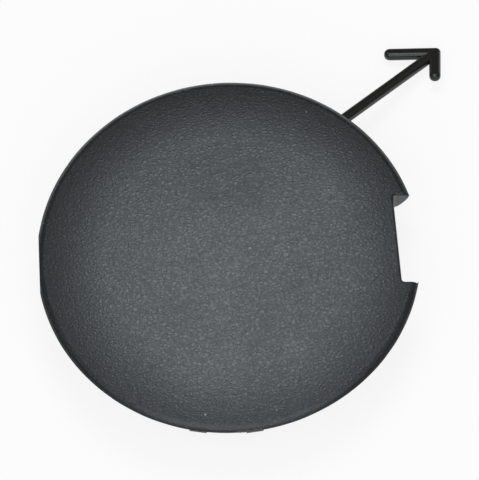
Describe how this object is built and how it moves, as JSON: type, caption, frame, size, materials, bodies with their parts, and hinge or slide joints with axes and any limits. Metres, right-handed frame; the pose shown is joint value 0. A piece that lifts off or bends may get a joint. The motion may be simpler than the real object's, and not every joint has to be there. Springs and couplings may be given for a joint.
{
  "type": "bumper tow hook cover",
  "caption": "Round domed tow hook cover for a bumper, 80 mm across, with a pry notch, snap hooks behind it and a tether strap that ends in an arrow barb.",
  "frame": {"origin": "centre of the disc on the plane of the rim's lower edge, which rests on the bumper", "axes": "+Z out of the grained face, +X towards the pry notch, the tether strap leaves between +X and +Y"},
  "size_m": [0.0885, 0.0898, 0.0178],
  "materials": {
    "grained_plastic": "black moulded polypropylene with a fine leather grain on the face, smooth on the back and strap"
  },
  "bodies": {
    "root": {"tow_hook_cover": "grained_plastic"}
  },
  "joints": []
}
